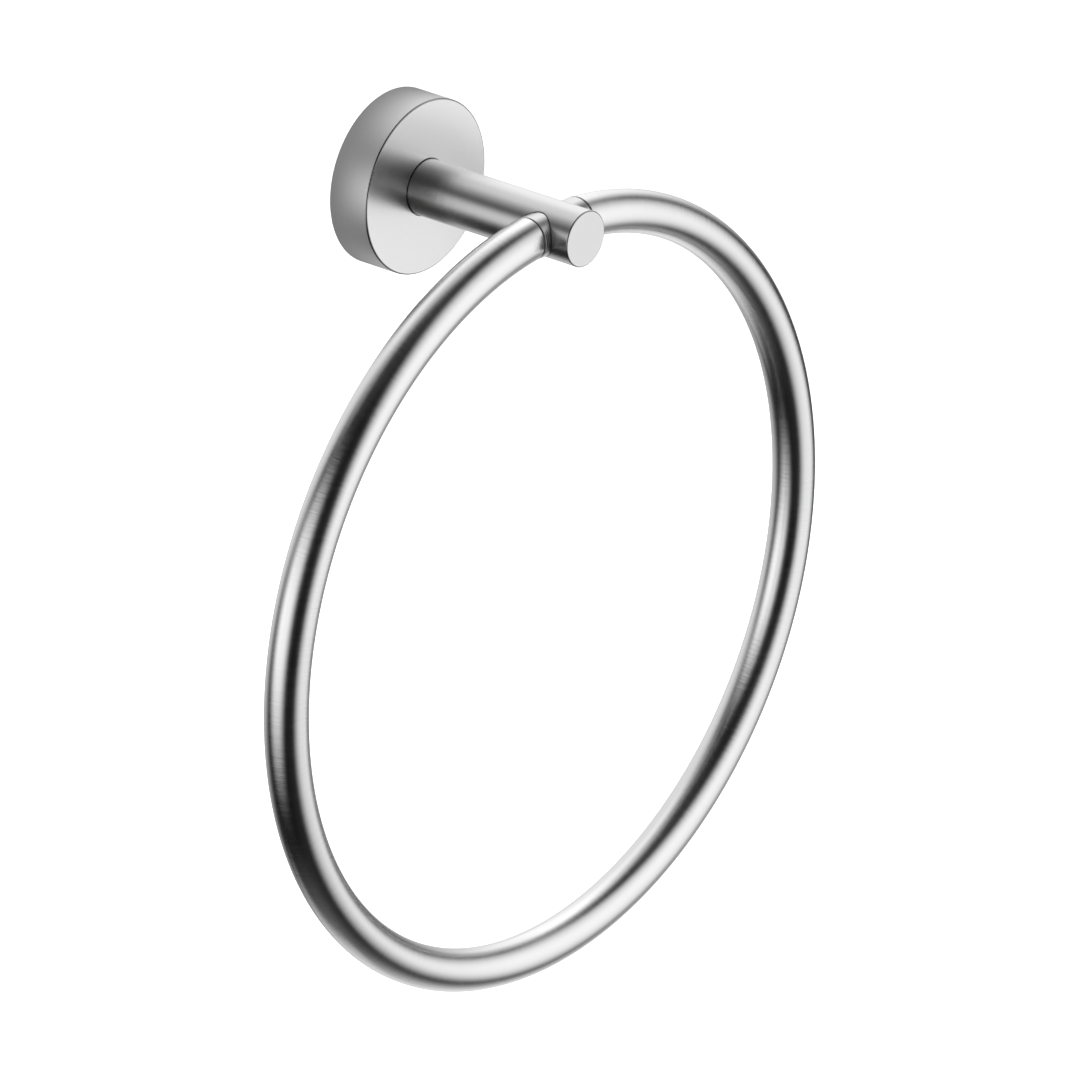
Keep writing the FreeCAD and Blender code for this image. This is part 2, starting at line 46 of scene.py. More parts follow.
# ---------------------------------------------------------------- sizes, as the CAD pieces have them
FLANGE_R, FLANGE_D, FLANGE_WALL, FLANGE_FRONT, FLANGE_ROUND = 25.0, 13.1, 2.5, 3.0, 0.45
SEAT_D, SEAT_R, SCREW_HOLE_R = 1.0, 8.3, 3.2
GRUB_R, GRUB_Y = 2.0, -4.5
POST_R, POST_L, POST_ROUND, BORE_R = 8.0, 70.0, 0.35, 3.0
PIN_R, PIN_Z, PIN_DEEP = 1.25, 5.4, 3.0
TUBE_R, TUBE_BORE, RING_R, RING_Y, RING_Z = 6.1, 4.9, 108.6, -58.4, -108.1
SHOULDER_X, TUBE_END_X, TUBE_ROUND, BAR_ROUND = 10.18, 10.58, 0.25, 0.2
MOUTH_R, MOUTH_X, SPIGOT_R, SPIGOT_END, SPIGOT_BEVEL = 6.3, 4.0, 2.5, 14.68, 0.4


# ---------------------------------------------------------------- camera, at the picture's angle
def camera():
    az, el, roll = (math.radians(v) for v in (-50.381, 23.719, 0.960))
    back = Vector((math.sin(az) * math.cos(el), -math.cos(az) * math.cos(el), math.sin(el)))
    level = Vector((math.cos(az), math.sin(az), 0.0))
    upright = back.cross(level)
    right = level * math.cos(roll) + upright * math.sin(roll)
    up = upright * math.cos(roll) - level * math.sin(roll)
    turn = Matrix((right, up, back))
    place = turn.transposed() @ Vector((41.206 * MM, -100.191 * MM, 2831.8 * MM))
    data = bpy.data.cameras.new("camera")
    data.lens, data.sensor_width = 343.99, 36.0
    data.clip_start, data.clip_end = 0.05, 60.0
    cam = bpy.data.objects.new("camera", data)
    cam.matrix_world = Matrix.Translation(place) @ turn.transposed().to_4x4()
    scene.collection.objects.link(cam)
    scene.camera = cam
    return cam


camera()


# ---------------------------------------------------------------- small shader helpers
class Tree:
    """Adds nodes to a material's tree, one call a node."""

    def __init__(self, owner):
        owner.use_nodes = True
        self.tree = owner.node_tree
        self.tree.nodes.clear()

    def node(self, kind, links=None, **values):
        n = self.tree.nodes.new(kind)
        for key, value in values.items():
            setattr(n, key, value)
        for key, value in (links or {}).items():
            if isinstance(value, bpy.types.NodeSocket):
                self.tree.links.new(value, n.inputs[key])
            else:
                n.inputs[key].default_value = value
        return n

    def math(self, op, a, b=0.0, c=0.0, clamp=False):
        return self.node("ShaderNodeMath", {0: a, 1: b, 2: c}, operation=op, use_clamp=clamp).outputs[0]

    def vec(self, op, a, b=(0.0, 0.0, 0.0)):
        return self.node("ShaderNodeVectorMath", {0: a, 1: b}, operation=op).outputs[0]

    def ramp(self, x, a, b, c, d, how="LINEAR"):
        """x from a..b to c..d, held at the ends."""
        return self.node("ShaderNodeMapRange", {"Value": x, "From Min": a, "From Max": b, "To Min": c, "To Max": d},
                         interpolation_type=how, clamp=True).outputs["Result"]

    def noise(self, where, scale, detail=2.0, rough=0.5):
        return self.node("ShaderNodeTexNoise", {"Vector": where, "Scale": scale, "Detail": detail, "Roughness": rough}
                         ).outputs["Fac"]

    def out(self, shader):
        self.tree.links.new(shader, self.node("ShaderNodeOutputMaterial").inputs["Surface"])


# ---------------------------------------------------------------- where the brush lines run
def along_y(t):
    """Lines round the Y axis: the pattern changes quickly along Y and hardly round it."""
    p = t.node("ShaderNodeTexCoord").outputs["Object"]
    return t.vec("MULTIPLY", p, (60.0, 1700.0, 60.0))


def along_x(t):
    p = t.node("ShaderNodeTexCoord").outputs["Object"]
    return t.vec("MULTIPLY", p, (1700.0, 60.0, 60.0))


def along_ring(t):
    """Lines round the ring's tube: the pattern changes quickly along the ring and hardly round its tube."""
    p = t.node("ShaderNodeTexCoord").outputs["Object"]
    s = t.node("ShaderNodeSeparateXYZ", {0: p})
    x, y = s.outputs[0], s.outputs[1]
    z = t.math("SUBTRACT", s.outputs[2], RING_Z * MM)
    turn = t.math("ARCTAN2", x, t.math("MULTIPLY", z, -1.0))
    out = t.math("SQRT", t.math("ADD", t.math("MULTIPLY", x, x), t.math("MULTIPLY", z, z)))
    return t.node("ShaderNodeCombineXYZ", {0: t.math("MULTIPLY", turn, RING_R * MM * 1300.0),
                                            1: t.math("MULTIPLY", y, 120.0), 2: t.math("MULTIPLY", out, 120.0)}
                  ).outputs[0]


def turned_face(t):
    """Rings about the Y axis, as a facing tool and a fine belt leave them."""
    p = t.node("ShaderNodeTexCoord").outputs["Object"]
    s = t.node("ShaderNodeSeparateXYZ", {0: p})
    x, z = s.outputs[0], s.outputs[2]
    out = t.math("SQRT", t.math("ADD", t.math("MULTIPLY", x, x), t.math("MULTIPLY", z, z)))
    return t.node("ShaderNodeCombineXYZ", {0: t.math("MULTIPLY", out, 2600.0), 1: t.math("MULTIPLY", x, 60.0),
                                            2: t.math("MULTIPLY", z, 60.0)}).outputs[0]


def brushed(name, where, colour, rough, aniso, bump=18.0, vary=0.03, tangent=True, metal=1.0, edge=1.0):
    """Brushed steel: a metal whose fine lines vary its roughness, shade and slope. bump is their depth in micrometres,
    and edge dims what the metal gives back at a flat slant."""
    m = bpy.data.materials.new(name)
    t = Tree(m)
    lines = t.noise(where(t), 1.0, 5.0, 0.62)
    cloud = t.noise(t.node("ShaderNodeTexCoord").outputs["Object"], 55.0, 3.0, 0.55)
    level = t.math("MULTIPLY_ADD", t.math("SUBTRACT", lines, 0.5), vary * 2.0, rough)
    level = t.math("MULTIPLY_ADD", t.math("SUBTRACT", cloud, 0.5), vary, level)
    shade = t.math("MULTIPLY_ADD", t.math("SUBTRACT", lines, 0.5), 0.04, 1.0)
    tint = t.node("ShaderNodeVectorMath", {0: (colour[0], colour[1], colour[2]), "Scale": shade},
                  operation="SCALE").outputs[0]
    links = {"Base Color": tint, "Metallic": metal, "Roughness": level, "Anisotropic": aniso,
             "Specular Tint": (edge, edge, edge, 1.0)}
    if bump:
        links["Normal"] = t.node("ShaderNodeBump", {"Strength": 1.0, "Distance": bump * 1e-6, "Height": lines}
                                 ).outputs[0]
    if tangent:
        links["Tangent"] = t.node("ShaderNodeTangent", direction_type="UV_MAP", uv_map="along").outputs[0]
    t.out(t.node("ShaderNodeBsdfPrincipled", links).outputs[0])
    return m


# The parts are all one steel, but each part and face gets a lighter or darker base colour to match how brightly it
# shows under this lighting. The lighter cover and post-end colours are painted light, and the darker post and crossbar
# colours are painted shade.
STEEL = (0.79, 0.79, 0.79)
ring_steel = brushed("ring_brushed_steel", along_ring, STEEL, 0.245, 0.0, bump=40.0, vary=0.05, edge=0.88)
post_steel = brushed("post_brushed_steel", along_y, (0.64, 0.64, 0.64), 0.259, 0.494)
post_face_steel = brushed("post_face_steel", turned_face, (0.78, 0.78, 0.78), 0.387, 0.0, bump=6.0, vary=0.01, tangent=False)
cover_steel = brushed("cover_brushed_steel", along_y, (0.92, 0.92, 0.92), 0.424, 0.0)
cover_face_steel = brushed("cover_face_steel", turned_face, (0.86, 0.86, 0.86), 0.30, 0.0, bump=6.0, vary=0.01, tangent=False, metal=0.9)
# A dark steel that paints shade: on the front rounds of the cover and post it paints dark edge lines, and on the seat
# round the post's root and the mouth of the cross hole it paints shadow gaps.
painted_shade_steel = brushed("painted_shade_steel", turned_face, (0.36, 0.36, 0.36), 0.14, 0.0, bump=0.0, vary=0.01, tangent=False)
bar_steel = brushed("bar_brushed_steel", along_x, (0.64, 0.64, 0.64), 0.278, 0.648)


# ---------------------------------------------------------------- mesh building
class Shell:
    """A mesh in the making: points, four-sided and three-sided faces, and a normal and a chart point for every corner."""

    def __init__(self):
        self.points, self.total = [], 0
        self.faces, self.normals, self.chart, self.kind = [], [], [], []

    def add(self, points):
        """Adds points and returns their numbers."""
        points = np.atleast_2d(np.array(points, float))
        self.points.append(points)
        self.total += len(points)
        return np.arange(self.total - len(points), self.total)

    def strip(self, low, high, low_n, high_n, u0, u1, wide, kind=0):
        """One band of faces between two closed loops of points. Either loop may be a single point."""
        count = max(len(low), len(high))
        i = np.arange(count)
        j = (i + 1) % count
        w = i * wide / count
        full = [(low, low_n, u0, 0), (low, low_n, u0, 1), (high, high_n, u1, 1), (high, high_n, u1, 0)]
        if len(low) == 1:
            full = full[1:]
        elif len(high) == 1:
            full = full[:3]
        ids, nrm, uvs = [], [], []
        for loop, n, u, step in full:
            pick = (i if step == 0 else j) if len(loop) > 1 else np.zeros(count, int)
            ids.append(loop[pick])
            nrm.append(n[pick] if len(n) > 1 else np.repeat(n, count, 0))
            uvs.append(np.stack([np.full(count, u), w + step * wide / count], 1))
        ids, nrm, uvs = np.stack(ids, 1), np.stack(nrm, 1), np.stack(uvs, 1)
        where = np.concatenate(self.points)[ids[0]]
        facing = sum(np.cross(where[k] - where[0], where[k + 1] - where[0]) for k in range(1, len(where) - 1))
        if facing @ nrm[0].sum(0) < 0:
            ids, nrm, uvs = ids[:, ::-1], nrm[:, ::-1], uvs[:, ::-1]
        self.faces += ids.tolist()
        self.normals.append(nrm.reshape(-1, 3))
        self.chart.append(uvs.reshape(-1, 2))
        self.kind += [kind] * count

    def make(self, name, materials):
        mesh = bpy.data.meshes.new(name)
        mesh.from_pydata((np.concatenate(self.points) * MM).tolist(), [], self.faces)
        uv = mesh.uv_layers.new(name="along")
        uv.data.foreach_set("uv", np.concatenate(self.chart).astype(np.float32).ravel())
        for m in materials:
            mesh.materials.append(m)
        mesh.polygons.foreach_set("material_index", np.array(self.kind, np.int32))
        mesh.polygons.foreach_set("use_smooth", np.ones(len(self.faces), bool))
        mesh.update()
        mesh.normals_split_custom_set(np.concatenate(self.normals).tolist())
        piece = bpy.data.objects.new(name, mesh)
        scene.collection.objects.link(piece)
        return piece


def line(a, b, steps=1, kind=0):
    """A straight stretch of an outline, in (along, out). The solid is on its right, and the normal points left."""
    a, b = np.array(a, float), np.array(b, float)
    d = (b - a) / np.linalg.norm(b - a)
    n = (-d[1], d[0])
    return [(tuple(a + (b - a) * i / steps), n) for i in range(steps + 1)], kind


def arc(centre, radius, start, end, steps, kind=0, inward=False):
    """A round stretch of an outline, from one angle to another in degrees."""
    out = []
    for i in range(steps + 1):
        t = math.radians(start + (end - start) * i / steps)
        n = (math.cos(t), math.sin(t))
        out.append(((centre[0] + radius * n[0], centre[1] + radius * n[1]), (-n[0], -n[1]) if inward else n))
    return out, kind


def lathe(stretches, axis, count, centre=(0.0, 0.0, 0.0)):
    """Turns an outline about an axis through centre. A closed outline makes a ring, and an open one ends on the axis."""
    shell = Shell()
    a, b = {"y": (1, (0, 2)), "x": (0, (1, 2)), "z": (2, (0, 1))}[axis]
    angle = 2 * np.pi * np.arange(count) / count
    made = {}

    def spread(along, out, single=False):
        v = np.zeros((1 if single else count, 3))
        v[:, a] = along
        if not single:
            v[:, b[0]], v[:, b[1]] = out * np.cos(angle), out * np.sin(angle)
        return v

    def circle(p):
        key = (round(p[0], 6), round(p[1], 6))
        if key not in made:
            made[key] = shell.add(np.array(centre) + spread(p[0], p[1], p[1] < 1e-9))
        return made[key]

    length = 0.0
    for points, kind in stretches:
        for (p, pn), (q, qn) in zip(points, points[1:]):
            step = math.dist(p, q)
            shell.strip(circle(p), circle(q), spread(pn[0], pn[1], p[1] < 1e-9), spread(qn[0], qn[1], q[1] < 1e-9),
                        length, length + step, 50.0, kind)
            length += step
    return shell


def carve(piece, tools):
    """Cuts each tool out of the piece, and applies it."""
    for tool in tools:
        mod = piece.modifiers.new("cut", "BOOLEAN")
        mod.operation, mod.solver, mod.object = "DIFFERENCE", "EXACT", tool
        bpy.context.view_layer.update()
        graph = bpy.context.evaluated_depsgraph_get()
        mesh = bpy.data.meshes.new_from_object(piece.evaluated_get(graph), preserve_all_data_layers=True, depsgraph=graph)
        piece.modifiers.remove(mod)
        old, piece.data = piece.data, mesh
        bpy.data.meshes.remove(old)
        spare = tool.data
        bpy.data.objects.remove(tool)
        bpy.data.meshes.remove(spare)


def true_normals(piece, surfaces, kinds):
    """Gives every face of a cut piece the exact normals of the surface that it lies on.
    surfaces: functions that take points in mm and give (distance from the surface, normals)."""
    mesh = piece.data
    co = np.zeros(len(mesh.vertices) * 3, np.float32)
    mesh.vertices.foreach_get("co", co)
    co = co.reshape(-1, 3).astype(float) / MM
    corner = np.zeros(len(mesh.loops), np.int32)
    mesh.loops.foreach_get("vertex_index", corner)
    start = np.zeros(len(mesh.polygons), np.int32)
    mesh.polygons.foreach_get("loop_start", start)
    sides = np.zeros(len(mesh.polygons), np.int32)
    mesh.polygons.foreach_get("loop_total", sides)
    own = np.zeros(len(mesh.polygons) * 3, np.float32)
    mesh.polygons.foreach_get("normal", own)
    own = own.reshape(-1, 3).astype(float)
    owner = np.repeat(np.arange(len(start)), sides)
    normals, kind = own[owner].copy(), np.zeros(len(start), np.int32)
    best = np.full(len(start), 0.004)
    for surface, k in zip(surfaces, kinds):
        d, n = surface(co)
        gap = np.maximum.reduceat(np.abs(d[corner]), start)
        agree = np.minimum.reduceat((n[corner] * own[owner]).sum(1), start)
        take = (gap < best) & (agree > 0.3)
        best[take], kind[take] = gap[take], k
        normals[take[owner]] = n[corner][take[owner]]
    mesh.polygons.foreach_set("material_index", kind)
    mesh.polygons.foreach_set("use_smooth", np.ones(len(start), bool))
    mesh.normals_split_custom_set(normals.tolist())
    mesh.update()
    return int((best == 0.004).sum())


def unit(v):
    return v / np.maximum(np.linalg.norm(v, axis=1, keepdims=True), 1e-12)


def drum(axis, radius, centre=(0, 0, 0), inward=False):
    """The surface of a round bar, or of a hole."""
    keep = np.array([0.0 if i == axis else 1.0 for i in range(3)])

    def f(co):
        v = (co - np.array(centre)) * keep
        r = np.linalg.norm(v, axis=1)
        return r - radius, unit(v) * (-1 if inward else 1)
    return f


def flat(axis, place, sign):
    n = np.zeros(3)
    n[axis] = sign
    return lambda co: (co[:, axis] - place, np.tile(n, (len(co), 1)))


def rolled(big, place, small):
    """The round between a bar about Y and its end face: a ring of radius big at y = place, with section small."""

    def f(co):
        r = np.hypot(co[:, 0], co[:, 2])
        e = np.stack([co[:, 0] / np.maximum(r, 1e-9), np.zeros(len(co)), co[:, 2] / np.maximum(r, 1e-9)], 1)
        v = e * (r - big)[:, None]
        v[:, 1] += co[:, 1] - place
        d = np.linalg.norm(v, axis=1)
        ok = (r > big - 1e-3) & (co[:, 1] < place + 1e-3)
        return np.where(ok, d - small, 9.0), unit(v)
    return f


def cone(r0, y0, r1, y1, out, along):
    """A bevel from (r0, y0) to (r1, y1) about Y, with its normal (out, along)."""
    s = math.hypot(out, along)

    def f(co):
        r = np.hypot(co[:, 0], co[:, 2])
        d = ((r - r0) * out + (co[:, 1] - y0) * along) / s
        low, high = min(y0, y1) - 1e-3, max(y0, y1) + 1e-3
        ok = (co[:, 1] > low) & (co[:, 1] < high)
        n = np.stack([co[:, 0] / np.maximum(r, 1e-9) * out, np.full(len(co), along), co[:, 2] / np.maximum(r, 1e-9) * out], 1) / s
        return np.where(ok, d, 9.0), n
    return f


# ---------------------------------------------------------------- flange cover
def make_cover():
    front, seat, inside = -FLANGE_D, -FLANGE_D + SEAT_D, -FLANGE_D + FLANGE_FRONT
    inner = FLANGE_R - FLANGE_WALL
    # the outline runs from the inside of the wall end forward, out over the seat and the face, and back
    shell = lathe([
        line((0.0, inner + 0.3), (-0.3, inner), 1),
        line((-0.3, inner), (inside, inner), 6),
        line((inside, inner), (inside, SCREW_HOLE_R), 8),
        line((inside, SCREW_HOLE_R), (seat, SCREW_HOLE_R), 1),
        line((seat, SCREW_HOLE_R), (seat, SEAT_R), 4),
        line((seat, SEAT_R), (front, SEAT_R), 1),
        line((front, SEAT_R), (front, FLANGE_R - FLANGE_ROUND), 12, 1),
        arc((front + FLANGE_ROUND, FLANGE_R - FLANGE_ROUND), FLANGE_ROUND, 180, 90, 10),
        line((front + FLANGE_ROUND, FLANGE_R), (0.0, FLANGE_R), 18),
        line((0.0, FLANGE_R), (0.0, inner + 0.3), 1),
    ], "y", 384)
    cover = shell.make("flange_cover_finish", [cover_steel, cover_face_steel, painted_shade_steel])
    grub = lathe([line((-28.0, 0.0), (-28.0, GRUB_R)), line((-28.0, GRUB_R), (-20.0, GRUB_R), 8),
                  line((-20.0, GRUB_R), (-20.0, 0.0))], "z", 96, (0.0, GRUB_Y, 0.0)).make("grub_drill", [])
    pin = lathe([line((-16.0, 0.0), (-16.0, PIN_R)), line((-16.0, PIN_R), (-8.0, PIN_R), 2),
                 line((-8.0, PIN_R), (-8.0, 0.0))], "y", 48, (0.0, 0.0, PIN_Z)).make("pin_drill", [])
    carve(cover, [grub, pin])
    # Kind 2 is the dark painted-shade steel. It goes on the front round and on the seat's wall and floor, where it
    # paints the shadow gap round the post.
    missed = true_normals(cover, [
        drum(1, FLANGE_R), rolled(FLANGE_R - FLANGE_ROUND, front + FLANGE_ROUND, FLANGE_ROUND), flat(1, front, -1),
        drum(1, SEAT_R, inward=True), flat(1, seat, -1), drum(1, SCREW_HOLE_R, inward=True), flat(1, inside, 1),
        drum(1, inner, inward=True), cone(inner, -0.3, inner + 0.3, 0.0, -1, 1), flat(1, 0.0, 1),
        drum(2, GRUB_R, (0, GRUB_Y, 0), inward=True), drum(1, PIN_R, (0, 0, PIN_Z), inward=True),
    ], [0, 2, 1, 2, 2, 0, 0, 0, 0, 0, 0, 0])
    print("flange cover: faces on no surface", missed)
    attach(cover, "bracket")
    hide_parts("flange_cover")
    return cover


# ---------------------------------------------------------------- post
def make_post():
    back = -FLANGE_D + SEAT_D
    shell = lathe([
        line((-POST_L, 0.0), (-POST_L, POST_R - POST_ROUND), 4, 1),
        arc((-POST_L + POST_ROUND, POST_R - POST_ROUND), POST_ROUND, 180, 90, 10),
        line((-POST_L + POST_ROUND, POST_R), (back - 0.3, POST_R), 44),
        line((back - 0.3, POST_R), (back, POST_R - 0.3), 1),
        line((back, POST_R - 0.3), (back, 0.0), 2),
    ], "y", 288)
    post = shell.make("post_finish", [post_steel, post_face_steel, painted_shade_steel])
    centre = (0.0, RING_Y, 0.0)
    across = lathe([line((-12.0, 0.0), (-12.0, MOUTH_R)), line((-12.0, MOUTH_R), (-MOUTH_X, MOUTH_R), 6),
                    line((-MOUTH_X, MOUTH_R), (-MOUTH_X, TUBE_R)), line((-MOUTH_X, TUBE_R), (MOUTH_X, TUBE_R), 6),
                    line((MOUTH_X, TUBE_R), (MOUTH_X, MOUTH_R)), line((MOUTH_X, MOUTH_R), (12.0, MOUTH_R), 6),
                    line((12.0, MOUTH_R), (12.0, 0.0))], "x", 216, centre).make("cross_drill", [])
    bore = lathe([line((RING_Y, 0.0), (RING_Y, BORE_R)), line((RING_Y, BORE_R), (-8.0, BORE_R), 4),
                  line((-8.0, BORE_R), (-8.0, 0.0))], "y", 72).make("bore_drill", [])
    pin = lathe([line((back - PIN_DEEP, 0.0), (back - PIN_DEEP, PIN_R)), line((back - PIN_DEEP, PIN_R), (-8.0, PIN_R), 2),
                 line((-8.0, PIN_R), (-8.0, 0.0))], "y", 48, (0.0, 0.0, PIN_Z)).make("post_pin_drill", [])
    carve(post, [across, bore, pin])
    # Kind 2 is the dark painted-shade steel. It goes on the front round and on the wall of the cross hole's mouth,
    # where it paints shade.
    missed = true_normals(post, [
        drum(1, POST_R), rolled(POST_R - POST_ROUND, -POST_L + POST_ROUND, POST_ROUND), flat(1, -POST_L, -1),
        cone(POST_R, back - 0.3, POST_R - 0.3, back, 1, 1), flat(1, back, 1),
        drum(0, TUBE_R, centre, inward=True), drum(0, MOUTH_R, centre, inward=True),
        flat(0, MOUTH_X, 1), flat(0, -MOUTH_X, -1), drum(1, BORE_R, inward=True),
        drum(1, PIN_R, (0, 0, PIN_Z), inward=True), flat(1, back - PIN_DEEP, 1),
    ], [0, 2, 1, 0, 0, 0, 2, 0, 0, 0, 0, 0])
    print("post: faces on no surface", missed)
    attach(post, "bracket")
    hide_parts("post")
    return post


# ---------------------------------------------------------------- crossbar
def make_bar():
    s, r, e, b = SHOULDER_X, BAR_ROUND, SPIGOT_END, SPIGOT_BEVEL
    shell = lathe([
        line((-e, 0.0), (-e, SPIGOT_R - b), 1),
        line((-e, SPIGOT_R - b), (-e + b, SPIGOT_R), 1),
        line((-e + b, SPIGOT_R), (-s, SPIGOT_R), 4),
        line((-s, SPIGOT_R), (-s, TUBE_R - r), 2),
        arc((-s + r, TUBE_R - r), r, 180, 90, 8),
        line((-s + r, TUBE_R), (s - r, TUBE_R), 28),
        arc((s - r, TUBE_R - r), r, 90, 0, 8),
        line((s, TUBE_R - r), (s, SPIGOT_R), 2),
        line((s, SPIGOT_R), (e - b, SPIGOT_R), 4),
        line((e - b, SPIGOT_R), (e, SPIGOT_R - b), 1),
        line((e, SPIGOT_R - b), (e, 0.0), 1),
    ], "x", 216, (0.0, RING_Y, 0.0))
    bar = shell.make("crossbar_finish", [bar_steel])
    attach(bar, "bracket")
    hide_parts("crossbar")
    return bar


# ---------------------------------------------------------------- ring
def make_ring():
    """A bent round tube whose two ends are cut square to the pivot bar, each with a small round outside."""
    shell = Shell()
    steps, count, round_steps, bore_steps = 640, 96, 8, 60
    v = 2 * np.pi * np.arange(count) / count
    around = np.stack([np.cos(v), np.sin(v)], 1)

    def point(radius, phi):
        out = RING_R + radius * np.cos(v)
        return np.stack([out * np.sin(phi), RING_Y + radius * np.sin(v), RING_Z + out * np.cos(phi)], 1)

    def normal(phi):
        return np.stack([np.cos(v) * np.sin(phi), np.sin(v), np.cos(v) * np.cos(phi)], 1)

    def end_angle(radius):
        return np.arcsin(TUBE_END_X / (RING_R + radius * np.cos(v)))

    girth, whole = 2 * math.pi * TUBE_R, 2 * math.pi * RING_R
    first_phi = end_angle(TUBE_R) + TUBE_ROUND / (RING_R + TUBE_R * np.cos(v))
    rows = []       # (points, normals, length along)
    for i in range(steps + 1):
        phi = first_phi + (2 * np.pi - 2 * first_phi) * i / steps
        rows.append((point(TUBE_R, phi), normal(phi), whole * i / steps))
    for side in (1, -1):
        a = end_angle(TUBE_R)
        start, corner, n = point(TUBE_R, first_phi), point(TUBE_R, a), normal(a)
        start[:, 0] *= side
        corner[:, 0] *= side
        n[:, 0] *= side
        into = -n * (0.0, 1.0, 1.0)
        into /= np.linalg.norm(into, axis=1, keepdims=True)
        r = np.linalg.norm(start - corner, axis=1, keepdims=True)
        back = (start - corner) / r
        for k in range(1, round_steps + 1):
            t = math.pi / 2 * k / round_steps
            pts = corner + back * r * (1 - math.sin(t)) + into * r * (1 - math.cos(t))
            nrm = n * math.cos(t) + np.array([-side, 0.0, 0.0]) * math.sin(t)
            nrm /= np.linalg.norm(nrm, axis=1, keepdims=True)
            if side > 0:
                rows.insert(0, (pts, nrm, -0.05 * k))
            else:
                rows.append((pts, nrm, whole + 0.05 * k))
    loops = [shell.add(r[0]) for r in rows]
    for k in range(len(rows) - 1):
        shell.strip(loops[k], loops[k + 1], rows[k][1], rows[k + 1][1], rows[k][2], rows[k + 1][2], girth)
    # the bore, and the flat ends between it and the rounds
    bore, bore_n = [], []
    for i in range(bore_steps + 1):
        a = end_angle(TUBE_BORE)
        phi = a + (2 * np.pi - 2 * a) * i / bore_steps
        bore.append(shell.add(point(TUBE_BORE, phi)))
        bore_n.append(-normal(phi))
    for k in range(bore_steps):
        shell.strip(bore[k], bore[k + 1], bore_n[k], bore_n[k + 1], whole * k / bore_steps, whole * (k + 1) / bore_steps, girth)
    for rim, hole, way in ((loops[0], bore[0], -1.0), (loops[-1], bore[-1], 1.0)):
        n = np.tile([way, 0.0, 0.0], (count, 1))
        shell.strip(rim, hole, n, n, 0.0, 1.2, girth)
    ring = shell.make("ring_tube_finish", [ring_steel])
    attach(ring, "ring")
    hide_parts("ring_tube")
    return ring


make_cover()
make_post()
make_bar()
make_ring()


# ---------------------------------------------------------------- finishes of the pieces inside
def plain_metal(name, colour, rough, vary, lines=None):
    m = bpy.data.materials.new(name)
    t = Tree(m)
    p = t.node("ShaderNodeTexCoord").outputs["Object"]
    cloud = t.noise(p, 180.0, 4.0, 0.6)
    level = t.math("MULTIPLY_ADD", t.math("SUBTRACT", cloud, 0.5), vary, rough)
    shade = t.math("MULTIPLY_ADD", t.math("SUBTRACT", cloud, 0.5), 0.25, 1.0)
    tint = t.node("ShaderNodeVectorMath", {0: colour, "Scale": shade}, operation="SCALE").outputs[0]
    links = {"Base Color": tint, "Metallic": 1.0, "Roughness": level}
    height = t.noise(t.vec("MULTIPLY", p, lines), 1.0, 3.0, 0.5) if lines else cloud
    links["Normal"] = t.node("ShaderNodeBump", {"Strength": 0.6, "Distance": 0.000004, "Height": height}).outputs[0]
    t.out(t.node("ShaderNodeBsdfPrincipled", links).outputs[0])
    return m


def nylon(name, colour):
    m = bpy.data.materials.new(name)
    t = Tree(m)
    cloud = t.noise(t.node("ShaderNodeTexCoord").outputs["Object"], 900.0, 3.0, 0.5)
    level = t.math("MULTIPLY_ADD", t.math("SUBTRACT", cloud, 0.5), 0.2, 0.5)
    bump = t.node("ShaderNodeBump", {"Strength": 0.5, "Distance": 0.000005, "Height": cloud}).outputs[0]
    t.out(t.node("ShaderNodeBsdfPrincipled", {"Base Color": (*colour, 1.0), "Roughness": level, "Normal": bump,
                                              "IOR": 1.53}).outputs[0])
    return m


plate_steel = plain_metal("zinc_plated_steel", (0.56, 0.57, 0.58), 0.38, 0.2, (60.0, 1500.0, 60.0))
screw_steel = plain_metal("stainless_screw", (0.50, 0.50, 0.50), 0.30, 0.15)
spring_steel = plain_metal("spring_steel", (0.30, 0.31, 0.33), 0.42, 0.2)
plug_steel = plain_metal("turned_plug_steel", (0.55, 0.55, 0.54), 0.34, 0.15, (1800.0, 60.0, 60.0))
bush_nylon = nylon("black_nylon", (0.012, 0.012, 0.013))

FINISH = {
    "wall_plate": plate_steel, "flange_cover": cover_steel, "flange_grub_screw": screw_steel, "post": post_steel,
    "post_screw": screw_steel, "post_screw_washer": screw_steel, "post_lock_washer": spring_steel,
    "post_locating_pin": screw_steel, "crossbar": bar_steel, "crossbar_lock_screw": screw_steel,
    "ring_tube": ring_steel, "ring_end_plug_right": plug_steel, "ring_end_plug_left": plug_steel,
    "pivot_bush_right": bush_nylon, "pivot_bush_left": bush_nylon,
}
for node, finish in FINISH.items():
    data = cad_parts[node].data
    if not data.materials:
        data.materials.append(finish)
    for k in range(len(data.materials)):
        data.materials[k] = finish


